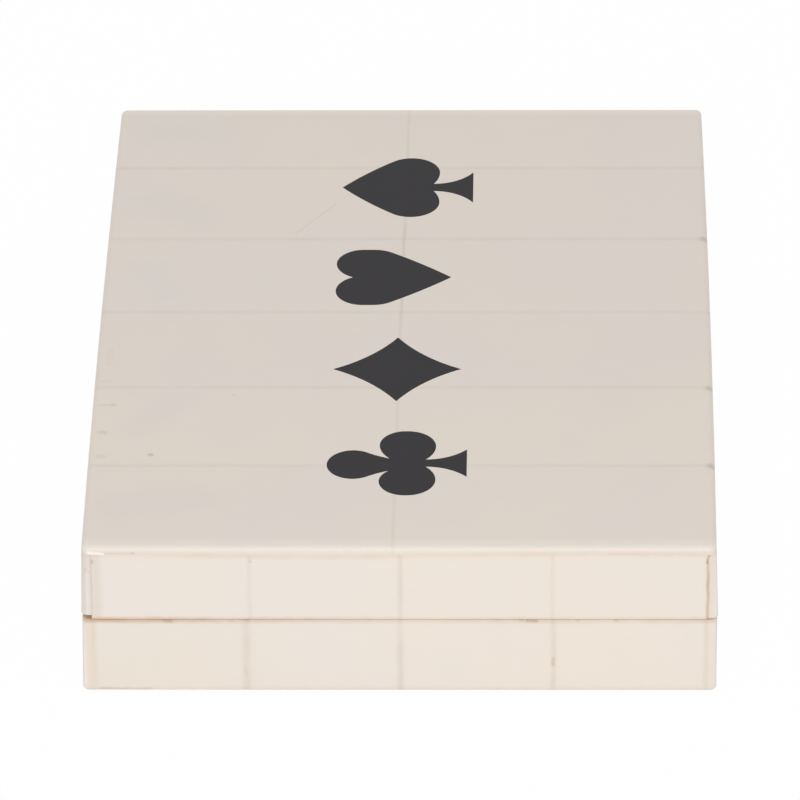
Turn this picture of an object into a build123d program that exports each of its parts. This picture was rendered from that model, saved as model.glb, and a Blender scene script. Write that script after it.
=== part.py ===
"""A card and dice box.

A flat wooden box with a lift-off lid. Both halves are boards covered with thin bone tiles, and the four
card suits are inlaid in the top. Inside the base a lip of thin strips stands up into the lid and keeps it in
place, and two dividers make three wells: one for each deck of cards, and one between them for the dice.

Sizes are in millimetres. The origin is on the table under the middle of the box. +Z is up, X runs across the
box and Y runs along it, with the front face towards -Y. The suits stand upright when they are seen from the
right, from +X.
"""

import os
from math import cos, radians, sin

from build123d import *

os.makedirs("parts", exist_ok=True)

# Contents: a deck is a pack of poker cards without its box
card_length = 88.9
card_width = 63.5
card_corner_radius = 3.2
deck_thickness = 16.2
die_size = 16.0
die_count = 5
die_edge_radius = 1.6
pip_radius = 1.35
pip_depth = 0.6
pip_spacing = 4.1

# Room round the contents
card_clearance = 1.95
finger_gap = 14.45
die_gap = 4.0
die_finger_gap = 6.0
headroom = 6.3

# Wooden boards
wall_thickness = 6.0
floor_board_thickness = 6.0
top_board_thickness = 6.0
base_wall_height = 13.2
lip_thickness = 3.0
lip_rise = 5.0
lip_clearance = 0.3
lip_headroom = 1.5
lip_edge_radius = 0.8
divider_thickness = 3.0
divider_drop = 1.0

# Felt
foot_felt_thickness = 0.5
foot_felt_inset = 2.5
lining_thickness = 1.0
lining_clearance = 0.3

# Bone tiles
tile_thickness = 2.0
side_tile_thickness = 2.4
row_count = 6
first_row_length = 33.05
last_row_length = 28.2
front_centre_joint = -1.3
rear_centre_joint = -0.55
front_tile_count = 4
lid_joint_shifts = (1.0, 0.25, -0.15)
base_joint_shifts = (-0.15, 0.1, 0.1)
lid_overhang = 0.2
lid_lean = 0.6
lid_bow = 0.45
base_left_lean = 0.45
front_tile_gap = 0.25
side_tile_gap = 0.45
short_tile_gap = 1.3
corner_radius = 1.5
top_edge_radius = 1.2
bottom_edge_radius = 0.7
seam_edge_radius = 0.4

# Inlays, in the order in which they lie from the front to the rear
inlay_depth = 1.0
inlay_clearance = 0.08
first_suit_inset = 34.05
last_suit_inset = 37.15
club_shift = -0.95
diamond_shift = -1.5
diamond_slip = -0.65
heart_shift = -2.95
heart_slip = -0.65
spade_shift = -0.25

# Spade, upright: its height, its width and the places of its lobes and stem
spade_height = 30.8
spade_width = 27.0
spade_lobe_radius = 6.7
spade_lobe_lift = 7.95
spade_shoulder_angle = 39.0
spade_stem_half = 1.6
spade_stem_height = 9.4
spade_foot_half = 6.75

# Heart, upright
heart_height = 26.6
heart_width = 24.4
heart_lobe_radius = 6.2
heart_notch_depth = 4.0
heart_flank = 2.5
heart_hip_radius = 7.0
heart_hip_angle = 34.0

# Diamond, upright, with hollow sides
diamond_height = 29.0
diamond_width = 27.0
diamond_hollow = 1.35

# Club, upright: its top lobe stands a little to one side of the stem, as cut by hand
club_height = 31.2
club_width = 26.2
club_side_lobe_radius = 6.25
club_side_lobe_lift = 6.95
club_side_lobe_reach = 7.4
club_top_lobe_radius = 5.8
club_top_lobe_lean = -0.6
club_neck_half = 2.35
club_neck_level = 16.95
club_neck_flare = 18.0
club_shoulder_angle = 30.0
club_stem_half = 1.4
club_stem_height = 9.3
club_foot_half = 5.45

# Lengths and widths that follow from the contents
dice_row_length = die_count * die_size + (die_count - 1) * die_gap
well_width = max(card_length + 2 * finger_gap, dice_row_length + 2 * die_finger_gap)
deck_well_length = card_width + 2 * card_clearance
dice_well_length = die_size + 2 * die_finger_gap
inner_length = 2 * deck_well_length + dice_well_length + 2 * divider_thickness
wooden_side = lip_thickness + wall_thickness
base_width = well_width + 2 * (wooden_side + side_tile_thickness)
base_length = inner_length + 2 * (wooden_side + tile_thickness)
lid_width = base_width + 2 * lid_overhang
lid_length = base_length + 2 * lid_overhang

# Levels above the table
floor_level = foot_felt_thickness + floor_board_thickness
lining_level = floor_level + lining_thickness
seam_level = floor_level + base_wall_height
lip_level = seam_level + lip_rise
divider_level = lip_level - divider_drop
contents_level = lining_level + max(deck_thickness, die_size)
lid_lining_level = max(contents_level + headroom, lip_level + lip_headroom)
ceiling_level = lid_lining_level + lining_thickness
top_tile_level = ceiling_level + top_board_thickness
box_height = top_tile_level + tile_thickness

# Half widths (X) and half lengths (Y), from the outside of each half to the wells
both_ways = Vector(1, 1)
lid_half = Vector(lid_width, lid_length) / 2
base_half = Vector(base_width, base_length) / 2
tiles_both_ways = Vector(side_tile_thickness, tile_thickness)
lid_core_half = lid_half - tiles_both_ways
base_core_half = base_half - tiles_both_ways
lip_outer_half = base_core_half - both_ways * wall_thickness
lip_inner_half = lip_outer_half - both_ways * lip_thickness
lid_inner_half = lip_outer_half + both_ways * lip_clearance


def save(piece, name):
    """Names a finished piece and writes its file."""
    piece.label = name
    export_step(piece, f"parts/{name}.step")


def block(across, along, up):
    """A straight block between its limits across (X), along (Y) and up (Z)."""
    with BuildPart() as piece:
        with BuildSketch(Plane.XY.offset(up[0])):
            with Locations((sum(across) / 2, sum(along) / 2)):
                Rectangle(across[1] - across[0], along[1] - along[0])
        extrude(amount=up[1] - up[0])
    return piece.part


def board(name, across, along, up):
    """A straight board or sheet of felt."""
    save(block(across, along, up), name)


def strip(name, across, along, up, run):
    """A board on edge whose two upper long edges are rounded. It runs along the axis run."""
    plain_strip = block(across, along, up)
    with BuildPart() as piece:
        add(plain_strip)
        fillet(piece.edges().group_by(Axis.Z)[-1].filter_by(run), lip_edge_radius)
    save(piece.part, name)


def four_sides(outer, inner):
    """The limits of four straight pieces round a frame: front and rear stand between the other two."""
    return {
        "left": ((-outer.X, -inner.X), (-outer.Y, outer.Y)),
        "right": ((inner.X, outer.X), (-outer.Y, outer.Y)),
        "front": ((-inner.X, inner.X), (-outer.Y, -inner.Y)),
        "rear": ((-inner.X, inner.X), (inner.Y, outer.Y)),
    }


# Wooden core of the base: a floor board with four walls on it
board("base_floor_board", (-base_core_half.X, base_core_half.X), (-base_core_half.Y, base_core_half.Y),
      (foot_felt_thickness, floor_level))
for side, (across, along) in four_sides(base_core_half, lip_outer_half).items():
    board(f"base_{side}_wall", across, along, (floor_level, seam_level))

# Lip strips, glued inside the walls and standing up into the lid
for side, (across, along) in four_sides(lip_outer_half, lip_inner_half).items():
    run = Axis.X if side in ("front", "rear") else Axis.Y
    strip(f"{side}_lip_strip", across, along, (floor_level, lip_level), run)

# Dividers, one on each side of the dice well
for side, facing in (("front", -1), ("rear", 1)):
    near = facing * dice_well_length / 2
    far = near + facing * divider_thickness
    strip(f"{side}_divider", (-lip_inner_half.X, lip_inner_half.X), (min(near, far), max(near, far)),
          (floor_level, divider_level), Axis.X)

# Wooden core of the lid: a top board with four walls under it, clear of the lip
board("lid_top_board", (-lid_core_half.X, lid_core_half.X), (-lid_core_half.Y, lid_core_half.Y),
      (ceiling_level, top_tile_level))
for side, (across, along) in four_sides(lid_core_half, lid_inner_half).items():
    board(f"lid_{side}_wall", across, along, (seam_level, ceiling_level))

# Felt: a pad under the base, a lining in each well and one in the lid
board("foot_felt", (-base_half.X + foot_felt_inset, base_half.X - foot_felt_inset),
      (-base_half.Y + foot_felt_inset, base_half.Y - foot_felt_inset), (0, foot_felt_thickness))
lining_half_width = lip_inner_half.X - lining_clearance
well_edge = dice_well_length / 2
deck_well_edge = well_edge + divider_thickness
linings = {
    "front_well_lining": (-lip_inner_half.Y + lining_clearance, -deck_well_edge - lining_clearance),
    "dice_well_lining": (-well_edge + lining_clearance, well_edge - lining_clearance),
    "rear_well_lining": (deck_well_edge + lining_clearance, lip_inner_half.Y - lining_clearance),
}
for name, along in linings.items():
    board(name, (-lining_half_width, lining_half_width), along, (floor_level, lining_level))
lid_lining_half = lid_inner_half - both_ways * lining_clearance
board("lid_lining", (-lid_lining_half.X, lid_lining_half.X), (-lid_lining_half.Y, lid_lining_half.Y),
      (lid_lining_level, ceiling_level))

# Outer form of each half, rounded at the corners and edges: every tile is cut from one of them. The lid's
# sides lean in towards the top, where they also bow out a little between the corners
top_half = lid_half - Vector(lid_lean, 0)
with BuildPart() as lid_form:
    with BuildSketch(Plane.XY.offset(seam_level)):
        RectangleRounded(lid_width, lid_length, corner_radius)
    with BuildSketch(Plane.XY.offset(box_height)) as lid_top:
        with BuildLine():
            ThreePointArc((top_half.X, -top_half.Y), (top_half.X + lid_bow, 0), (top_half.X, top_half.Y))
            Line((top_half.X, top_half.Y), (-top_half.X, top_half.Y))
            ThreePointArc((-top_half.X, top_half.Y), (-top_half.X - lid_bow, 0), (-top_half.X, -top_half.Y))
            Line((-top_half.X, -top_half.Y), (top_half.X, -top_half.Y))
        make_face()
        fillet(lid_top.vertices(), corner_radius)
    loft(ruled=True)
    fillet(lid_form.faces().sort_by(Axis.Z)[-1].edges(), top_edge_radius)

# The base is a section drawn on XZ, whose left side leans out a little towards the table. Its four shortest
# edges are the upright corners
with BuildPart() as base_form:
    with BuildSketch(Plane.XZ):
        with BuildLine():
            Polyline((-base_half.X - base_left_lean, foot_felt_thickness), (base_half.X, foot_felt_thickness),
                     (base_half.X, seam_level), (-base_half.X, seam_level), close=True)
        make_face()
    extrude(amount=base_half.Y, both=True)
    fillet(base_form.edges().sort_by(SortBy.LENGTH)[:4], corner_radius)
    fillet(base_form.faces().sort_by(Axis.Z)[0].edges(), bottom_edge_radius)
    fillet(base_form.faces().sort_by(Axis.Z)[-1].edges(), seam_edge_radius)


def draw_spade():
    """A spade about its middle: straight-footed stem, two round lobes and gently swelling sides."""
    foot = -spade_height / 2
    lobe_bottom = foot + spade_lobe_lift
    lobe_level = lobe_bottom + spade_lobe_radius
    shoulder = radians(spade_shoulder_angle)
    Line((-spade_foot_half, foot), (spade_foot_half, foot))
    for side in (1, -1):
        lobe_across = side * (spade_width / 2 - spade_lobe_radius)
        waist = (side * spade_stem_half, foot + spade_stem_height)
        turn = (lobe_across + side * spade_lobe_radius * cos(shoulder),
                lobe_level + spade_lobe_radius * sin(shoulder))
        TangentArc(waist, (side * spade_foot_half, foot), tangent=(0, -1))
        TangentArc((lobe_across, lobe_bottom), waist, tangent=(-side, 0))
        ThreePointArc((lobe_across, lobe_bottom), (side * spade_width / 2, lobe_level), turn)
        TangentArc(turn, (0, spade_height / 2), tangent=(-side * sin(shoulder), cos(shoulder)))


def draw_heart():
    """A heart about its middle: full lobes, a notch between them and nearly straight sides to the tip."""
    top = heart_height / 2
    lobe_level = top - heart_lobe_radius
    hip_level = lobe_level - heart_flank
    hip = radians(heart_hip_angle)
    for side in (1, -1):
        widest = side * heart_width / 2
        lobe_top = (widest - side * heart_lobe_radius, top)
        turn = (widest - side * heart_hip_radius * (1 - cos(hip)), hip_level - heart_hip_radius * sin(hip))
        TangentArc(lobe_top, (0, top - heart_notch_depth), tangent=(-side, 0))
        TangentArc(lobe_top, (widest, lobe_level), tangent=(side, 0))
        Line((widest, lobe_level), (widest, hip_level))
        TangentArc((widest, hip_level), turn, tangent=(0, -1))
        TangentArc(turn, (0, -heart_height / 2), tangent=(-side * sin(hip), -cos(hip)))


def draw_diamond():
    """A diamond about its middle, each side bowed inwards."""
    middle = Vector(diamond_width, diamond_height) / 4
    inwards = Vector(-diamond_height, -diamond_width).normalized() * diamond_hollow
    hollow = middle + inwards
    for side in (1, -1):
        for end in (1, -1):
            ThreePointArc((side * diamond_width / 2, 0), (side * hollow.X, end * hollow.Y),
                          (0, end * diamond_height / 2))


def draw_club():
    """A club about its middle: straight-footed stem, two side lobes and a top lobe on a flared neck."""
    foot = -club_height / 2
    side_lobe_bottom = foot + club_side_lobe_lift
    side_lobe_level = side_lobe_bottom + club_side_lobe_radius
    side_lobe_top = side_lobe_level + club_side_lobe_radius
    neck_level = foot + club_neck_level
    flare = radians(club_neck_flare)
    shoulder = radians(club_shoulder_angle)
    shoulder_half = club_top_lobe_radius * cos(shoulder)
    shoulder_level = club_height / 2 - club_top_lobe_radius * (1 + sin(shoulder))
    Line((-club_foot_half, foot), (club_foot_half, foot))
    ThreePointArc((club_top_lobe_lean + shoulder_half, shoulder_level), (club_top_lobe_lean, club_height / 2),
                  (club_top_lobe_lean - shoulder_half, shoulder_level))
    for side in (1, -1):
        lobe_across = side * (club_width / 2 - club_side_lobe_radius)
        lobe_top = (side * club_side_lobe_reach, side_lobe_top)
        widest = side * club_width / 2
        upper_radius = club_width / 2 - club_side_lobe_reach
        waist = (side * club_stem_half, foot + club_stem_height)
        neck = (club_top_lobe_lean + side * club_neck_half, neck_level)
        TangentArc(waist, (side * club_foot_half, foot), tangent=(0, -1))
        TangentArc((lobe_across, side_lobe_bottom), waist, tangent=(-side, 0))
        TangentArc((lobe_across, side_lobe_bottom), (widest, side_lobe_level), tangent=(side, 0))
        Line((widest, side_lobe_level), (widest, side_lobe_top - upper_radius))
        TangentArc(lobe_top, (widest, side_lobe_top - upper_radius), tangent=(side, 0))
        TangentArc(lobe_top, neck, tangent=(-side, 0))
        TangentArc(neck, (club_top_lobe_lean + side * shoulder_half, shoulder_level),
                   tangent=(side * sin(flare), cos(flare)))


def suit_block(draw, plane, height, margin):
    """A suit as a block on its plane, wider by margin all round."""
    with BuildPart() as block:
        with BuildSketch(plane):
            with BuildLine():
                draw()
            make_face()
            if margin > 0:
                offset(amount=margin)
        extrude(amount=height)
    return block.part


# Inlays and the pockets that they are set in, from the first suit to the last. Each is a little off the even
# spacing
suits = (
    ("club_inlay", draw_club, club_shift, 0),
    ("diamond_inlay", draw_diamond, diamond_shift, diamond_slip),
    ("heart_inlay", draw_heart, heart_shift, heart_slip),
    ("spade_inlay", draw_spade, spade_shift, 0),
)
suit_pitch = (lid_length - first_suit_inset - last_suit_inset) / (len(suits) - 1)
pockets = []
for place, (name, draw, shift, slip) in enumerate(suits):
    suit_along = -lid_half.Y + first_suit_inset + place * suit_pitch + slip
    suit_middle = (shift, suit_along, box_height - inlay_depth)
    suit_plane = Plane(origin=suit_middle, x_dir=(0, 1, 0), z_dir=(0, 0, 1))
    save(suit_block(draw, suit_plane, inlay_depth, 0), name)
    pockets.append(suit_block(draw, suit_plane, inlay_depth, inlay_clearance))


def tile(form, across, along, up, cuts=()):
    """One tile: the stretch of a half's outer form between its limits, less the pockets that reach it."""
    plain_tile = block(across, along, up)
    with BuildPart() as piece:
        add(plain_tile)
        add(form.part, mode=Mode.INTERSECT)
        for cut in cuts:
            add(cut, mode=Mode.SUBTRACT)
    return piece.part


def spans(edges):
    """Neighbouring edges in pairs, as the limits of the tiles between them."""
    return list(zip(edges[:-1], edges[1:]))


def row_edges(half_length):
    """The joints between rows along the box. The first and last rows have their own lengths."""
    first_joint = -lid_half.Y + first_row_length
    row_length = (lid_length - first_row_length - last_row_length) / (row_count - 2)
    joints = [first_joint + row * row_length for row in range(row_count - 1)]
    return [-half_length] + joints + [half_length]


def front_edges(half_width, joint_shifts):
    """The joints between the front tiles, which stand between the side tiles. Each may be a little off."""
    between = half_width - side_tile_thickness
    tile_width = 2 * between / front_tile_count
    joints = [-between + tile_width * count for count in range(1, front_tile_count)]
    for count, shift in enumerate(joint_shifts[:len(joints)]):
        joints[count] += shift
    return [-between] + joints + [between]


def save_group(name, pieces):
    """Saves tiles that lie side by side as separate solids in one file."""
    save(Compound(children=pieces), name)


# Top tiles, in two columns and in rows counted from the front. The joint between the columns runs askew
for row, along in enumerate(spans(row_edges(lid_half.Y))):
    centre_joint = front_centre_joint + (rear_centre_joint - front_centre_joint) * row / (row_count - 1)
    columns = {"left": (-lid_half.X, centre_joint), "right": (centre_joint, lid_half.X)}
    for column, across in columns.items():
        top_tile = tile(lid_form, across, along, (top_tile_level, box_height), pockets)
        save(top_tile, f"top_tile_{row + 1}_{column}")

# Front and rear tiles of the lid, between the side tiles and under the top tiles
lid_front_spans = spans(front_edges(lid_half.X, lid_joint_shifts))
lid_front_up = (seam_level + front_tile_gap, top_tile_level)
save_group("lid_front_tiles", [tile(lid_form, across, (-lid_half.Y, -lid_core_half.Y), lid_front_up)
                               for across in lid_front_spans])
save_group("lid_rear_tiles", [tile(lid_form, across, (lid_core_half.Y, lid_half.Y), lid_front_up)
                              for across in lid_front_spans])

# Side tiles of the lid. The front one on the left is cut a little short
lid_rows = spans(row_edges(lid_half.Y))
lid_left = (-lid_half.X, -lid_core_half.X)
lid_right = (lid_core_half.X, lid_half.X)
left_gaps = [short_tile_gap] + [side_tile_gap] * (len(lid_rows) - 1)
save_group("lid_left_tiles", [tile(lid_form, lid_left, along, (seam_level + gap, top_tile_level))
                              for along, gap in zip(lid_rows, left_gaps)])
save_group("lid_right_tiles", [tile(lid_form, lid_right, along, (seam_level + side_tile_gap, top_tile_level))
                               for along in lid_rows])

# Tiles of the base, laid out as those of the lid
base_up = (foot_felt_thickness, seam_level)
base_front_spans = spans(front_edges(base_half.X, base_joint_shifts))
base_rows = spans(row_edges(base_half.Y))
base_left = (-base_half.X - base_left_lean, -base_core_half.X)
base_right = (base_core_half.X, base_half.X)
save_group("base_front_tiles", [tile(base_form, across, (-base_half.Y, -base_core_half.Y), base_up)
                                for across in base_front_spans])
save_group("base_rear_tiles", [tile(base_form, across, (base_core_half.Y, base_half.Y), base_up)
                               for across in base_front_spans])
save_group("base_left_tiles", [tile(base_form, base_left, along, base_up) for along in base_rows])
save_group("base_right_tiles", [tile(base_form, base_right, along, base_up) for along in base_rows])

# Decks, each in the middle of its well with its long side across the box
deck_middle = well_edge + divider_thickness + deck_well_length / 2
for side, facing in (("front", -1), ("rear", 1)):
    with BuildPart() as deck:
        with BuildSketch(Plane.XY.offset(lining_level)):
            with Locations((0, facing * deck_middle)):
                RectangleRounded(card_length, card_width, card_corner_radius)
        extrude(amount=deck_thickness)
    save(deck.part, f"{side}_deck")


def pip_places(value):
    """Where the pips of one face lie, from the middle of the face."""
    places = []
    if value % 2 == 1:
        places.append((0, 0))
    if value >= 2:
        places += [(-pip_spacing, pip_spacing), (pip_spacing, -pip_spacing)]
    if value >= 4:
        places += [(pip_spacing, pip_spacing), (-pip_spacing, -pip_spacing)]
    if value == 6:
        places += [(-pip_spacing, 0), (pip_spacing, 0)]
    return places


# A die about its own middle: opposite faces add up to seven, and each pip is a shallow round hollow
pip_ball_radius = (pip_radius**2 + pip_depth**2) / (2 * pip_depth)
pip_ball_height = die_size / 2 + pip_ball_radius - pip_depth
face_directions = {1: (0, 0, 1), 6: (0, 0, -1), 2: (0, -1, 0), 5: (0, 1, 0), 3: (1, 0, 0), 4: (-1, 0, 0)}
with BuildPart() as plain_die:
    Box(die_size, die_size, die_size)
    fillet(plain_die.edges(), die_edge_radius)
    for value, direction in face_directions.items():
        with Locations(Plane(origin=(0, 0, 0), z_dir=direction)):
            with Locations(*[(across, up, pip_ball_height) for across, up in pip_places(value)]):
                Sphere(pip_ball_radius, mode=Mode.SUBTRACT)

# Dice in a row across the dice well: each is tipped on to another face, then turned a little, in degrees
die_tips = ((0, 0, 5), (90, 0, -8), (0, 90, 11), (180, 0, -4), (0, -90, 7))
first_die = -(dice_row_length - die_size) / 2
for count in range(die_count):
    tip_x, tip_y, turn = die_tips[count % len(die_tips)]
    die_middle = Plane(origin=(first_die + count * (die_size + die_gap), 0, lining_level + die_size / 2))
    turned = die_middle.rotated((0, 0, turn))
    with BuildPart() as die:
        with Locations(turned):
            with Locations(Location((0, 0, 0), (tip_x, tip_y, 0))):
                add(plain_die.part)
    save(die.part, f"die_{count + 1}")

print(f"lid {lid_width:.2f} x {lid_length:.2f}, height {box_height:.2f}, seam at {seam_level:.2f}")
print(f"wells {well_width:.2f} across, decks {deck_well_length:.2f}, dice {dice_well_length:.2f}")
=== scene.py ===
# %% [markdown]
# # A bone-tiled box for cards and dice
#
# The real box is two shallow wooden trays, one upside down on the other. Thin bone tiles cover the top and
# the sides, and the four card suits are inlaid in the top in charcoal. Inside are two decks of cards and
# five dice.
#
# The construction comes ready from CAD as the frame. It holds every board, tile, inlay and die at full
# size. This lesson gives those pieces their finishes, and makes what CAD only marks with plain blocks: the
# felts and the cards. It also adds the camera and the light. Lengths are in metres, as in the frame, and
# `mm` turns millimetres into them.

# %% Load the frame
from math import cos, radians, sin

import bpy
import numpy as np
from mathutils import Matrix, Vector


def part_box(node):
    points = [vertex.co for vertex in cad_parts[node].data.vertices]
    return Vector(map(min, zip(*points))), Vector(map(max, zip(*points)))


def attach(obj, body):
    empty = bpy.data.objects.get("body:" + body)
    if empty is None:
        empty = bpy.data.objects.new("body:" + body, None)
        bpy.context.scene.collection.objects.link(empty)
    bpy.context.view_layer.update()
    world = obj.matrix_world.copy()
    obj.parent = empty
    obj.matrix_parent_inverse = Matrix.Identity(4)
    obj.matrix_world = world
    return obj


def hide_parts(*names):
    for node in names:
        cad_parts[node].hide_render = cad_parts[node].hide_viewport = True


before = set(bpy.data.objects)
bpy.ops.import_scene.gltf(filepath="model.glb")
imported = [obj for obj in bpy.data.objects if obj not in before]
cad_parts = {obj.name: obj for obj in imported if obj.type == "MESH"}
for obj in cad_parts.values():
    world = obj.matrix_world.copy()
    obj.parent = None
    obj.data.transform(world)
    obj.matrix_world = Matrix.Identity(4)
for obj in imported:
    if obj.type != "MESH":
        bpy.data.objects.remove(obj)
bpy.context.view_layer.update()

mm = 0.001

# %% [markdown]
# ## Camera
#
# The photograph was taken from well above and far away with a long lens, so the rear edge of the box is
# nearly as wide as the front edge. Such a view could be set by eye, but a small error in the distance
# changes how much the sides draw together. The place, the three angles and the lens below were solved from
# the corners of the box instead.

# %% Camera
camera_eye = Vector((31.88, -1464.573, 950.519)) * mm
camera_yaw = radians(-1.30348)
camera_pitch = radians(32.52154)
camera_roll = radians(0.70912)
camera_lens = 336.66
camera_sensor = 36.0


def camera_axes(yaw, pitch, roll):
    """Right, up and forward of a camera turned left or right by yaw, tipped down by pitch, then rolled."""
    forward = Vector((sin(yaw) * cos(pitch), cos(yaw) * cos(pitch), -sin(pitch)))
    level_right = Vector((cos(yaw), -sin(yaw), 0))
    level_up = level_right.cross(forward)
    right = cos(roll) * level_right - sin(roll) * level_up
    up = sin(roll) * level_right + cos(roll) * level_up
    return right, up, forward


right, up, forward = camera_axes(camera_yaw, camera_pitch, camera_roll)
camera = bpy.data.objects.new("camera", bpy.data.cameras.new("camera"))
bpy.context.scene.collection.objects.link(camera)
bpy.context.scene.camera = camera
camera.data.lens = camera_lens
camera.data.sensor_width = camera_sensor
camera.matrix_world = Matrix.Translation(camera_eye) @ Matrix((right, up, -forward)).transposed().to_4x4()
print("camera at", [round(value, 3) for value in camera.location])

# %% [markdown]
# ## Shader maths as expressions
#
# A finish is a small program over the surface. Blender writes such programs as nodes, and a page of nodes
# is hard to read. So one small class wraps a socket and overloads the arithmetic: `1 - mask * 0.3` adds its
# own Math nodes. Every other node comes from one method, which takes the node's type, its settings and its
# inputs.

# %% Wire


class Wire:
    """One output in a finish. Arithmetic on wires and numbers adds Math nodes to that finish."""

    def __init__(self, finish, socket):
        self.finish = finish
        self.socket = socket

    def maths(self, operation, *values):
        """A Math node on these wires or numbers, in order."""
        return self.finish.node("Math", {"operation": operation}, dict(enumerate(values)))

    def __add__(self, other):
        return self.maths("ADD", self, other)

    def __sub__(self, other):
        return self.maths("SUBTRACT", self, other)

    def __rsub__(self, other):
        return self.maths("SUBTRACT", other, self)

    def __mul__(self, other):
        return self.maths("MULTIPLY", self, other)

    def __abs__(self):
        return self.maths("ABSOLUTE", self)

    def __lt__(self, other):
        return self.maths("LESS_THAN", self, other)

    def __gt__(self, other):
        return self.maths("GREATER_THAN", self, other)

    __radd__ = __add__
    __rmul__ = __mul__

    def cosine(self):
        return self.maths("COSINE", self)

    def least(self, other):
        return self.maths("MINIMUM", self, other)

    def most(self, other):
        return self.maths("MAXIMUM", self, other)

    def to_nearest(self, spacing):
        """Distance to the nearest whole multiple of the spacing."""
        return self.maths("PINGPONG", self, spacing / 2)


# %% Finish


class Finish:
    """A material or the world on its way: a node tree, and calls that add to it."""

    def __init__(self, owner):
        owner.use_nodes = True
        self.owner = owner
        self.tree = owner.node_tree
        self.tree.nodes.clear()

    def node(self, kind, settings=None, inputs=None, outputs=(0,)):
        """Adds a node: settings first, then its inputs' values or links. Returns the outputs asked for."""
        node = self.tree.nodes.new("ShaderNode" + kind)
        for name, value in (settings or {}).items():
            setattr(node, name, value)
        for name, value in (inputs or {}).items():
            if isinstance(value, Wire):
                self.tree.links.new(value.socket, node.inputs[name])
            else:
                node.inputs[name].default_value = value
        wires = [Wire(self, node.outputs[name]) for name in outputs]
        return wires[0] if len(wires) == 1 else wires

    def place(self):
        """The point on the surface, in metres in the frame."""
        return self.node("TexCoord", outputs=("Object",))

    def split(self, vector):
        """The three parts of a vector."""
        return self.node("SeparateXYZ", inputs={0: vector}, outputs=("X", "Y", "Z"))

    def join(self, x, y, z):
        """A vector from three parts."""
        return self.node("CombineXYZ", inputs={"X": x, "Y": y, "Z": z})

    def stretch(self, vector, scale):
        """A vector with each part multiplied by its own scale."""
        return self.node("VectorMath", {"operation": "MULTIPLY"}, {0: vector, 1: scale})

    def noise(self, vector, size, detail=2.0):
        """Soft noise from 0 to 1, whose patches are about this size in metres."""
        return self.node("TexNoise", inputs={"Vector": vector, "Scale": 1 / size, "Detail": detail})

    def fade(self, value, start, end):
        """A smooth step: 0 where the value is at start, 1 where it is at end. They may be in either order."""
        return self.node("MapRange", {"interpolation_type": "SMOOTHSTEP"},
                         {"Value": value, "From Min": start, "From Max": end, "To Min": 0.0, "To Max": 1.0})

    def to_run(self, point, start, end):
        """Distance to a straight run: the point is dropped on to it and held between its ends."""
        run = end - start
        along = run / run.length_squared
        offset = self.node("VectorMath", {"operation": "SUBTRACT"}, {0: point, 1: start})
        share = self.node("VectorMath", {"operation": "DOT_PRODUCT"}, {0: offset, 1: along}, ("Value",))
        foot = self.node("VectorMath", {"operation": "SCALE"}, {0: run, "Scale": share.most(0).least(1)})
        return self.node("VectorMath", {"operation": "DISTANCE"}, {0: offset, 1: foot}, ("Value",))

    def mix(self, share, first, second, how="MIX"):
        """Two colours mixed by share. A Mix node's colours are its inputs 6 and 7 and its output 2."""
        settings = {"data_type": "RGBA", "blend_type": how, "clamp_factor": True}
        return self.node("Mix", settings, {0: share, 6: first, 7: second}, (2,))

    def finish_with(self, changing, constant):
        """The surface shader: changing inputs are linked, and constant ones are set on its sockets."""
        surface = self.node("BsdfPrincipled", inputs={**constant, **changing})
        self.node("OutputMaterial", inputs={"Surface": surface}, outputs=())
        return self.owner

    def bump(self, height, distance):
        """Small relief: a height from 0 to 1 stands for this distance in metres."""
        return self.node("Bump", inputs={"Strength": 1.0, "Distance": distance, "Height": height})


# %% New finishes, colours and painting


def new_finish(name):
    """A finish for a new material."""
    return Finish(bpy.data.materials.new(name))


def colour(red, green, blue):
    """An sRGB colour from 0 to 255 as Blender's linear light: a power of 2.4 with a straight foot."""
    screen = np.array((red, green, blue)) / 255
    light = np.where(screen <= 0.04045, screen / 12.92, ((screen + 0.055) / 1.055) ** 2.4)
    return (*(float(value) for value in light), 1.0)


def paint(node_names, material):
    """Gives CAD nodes their finish."""
    for name in node_names:
        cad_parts[name].material_slots[0].material = material
    print(material.name, "on", len(node_names), "nodes")


# %% [markdown]
# ## Floor and light
#
# The photograph is a cut-out on white with soft light: a broad lamp in front and above, and a bright room
# all round. More light on the floor would make the background white, but it would also wash out the bone.
# So the floor shows mostly white of strength 1 to the camera and to reflections, and only a small share of
# its real, shaded colour.

# %% Floor
floor_half = 3.0
floor_white_share = 0.98
floor_colour = colour(245, 245, 245)


def white_to_the_camera(finish):
    """1 for camera, reflected and refracted rays, and 0 for the light that the object gets."""
    camera_ray, glossy_ray, clear_ray = finish.node(
        "LightPath", outputs=("Is Camera Ray", "Is Glossy Ray", "Is Transmission Ray"))
    return camera_ray.most(glossy_ray).most(clear_ray)


floor_mesh = bpy.data.meshes.new("floor")
floor_corners = [(x * floor_half, y * floor_half, 0) for x, y in ((-1, -1), (1, -1), (1, 1), (-1, 1))]
floor_mesh.from_pydata(floor_corners, [], [(0, 1, 2, 3)])
floor = bpy.data.objects.new("floor", floor_mesh)
bpy.context.scene.collection.objects.link(floor)

floor_finish = new_finish("floor")
floor_shaded = floor_finish.node("BsdfDiffuse", inputs={"Color": floor_colour})
floor_white = floor_finish.node("Emission", inputs={"Color": (1, 1, 1, 1), "Strength": 1.0})
floor_share = white_to_the_camera(floor_finish) * floor_white_share
floor_seen = floor_finish.node("MixShader", inputs={0: floor_share, 1: floor_shaded, 2: floor_white})
floor_finish.node("OutputMaterial", inputs={"Surface": floor_seen}, outputs=())
floor_mesh.materials.append(floor_finish.owner)
print("floor", 2 * floor_half, "m wide")

# %% Room light
room_level = 0.72
room_colour = (1.0, 1.0, 1.0, 1.0)

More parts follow.
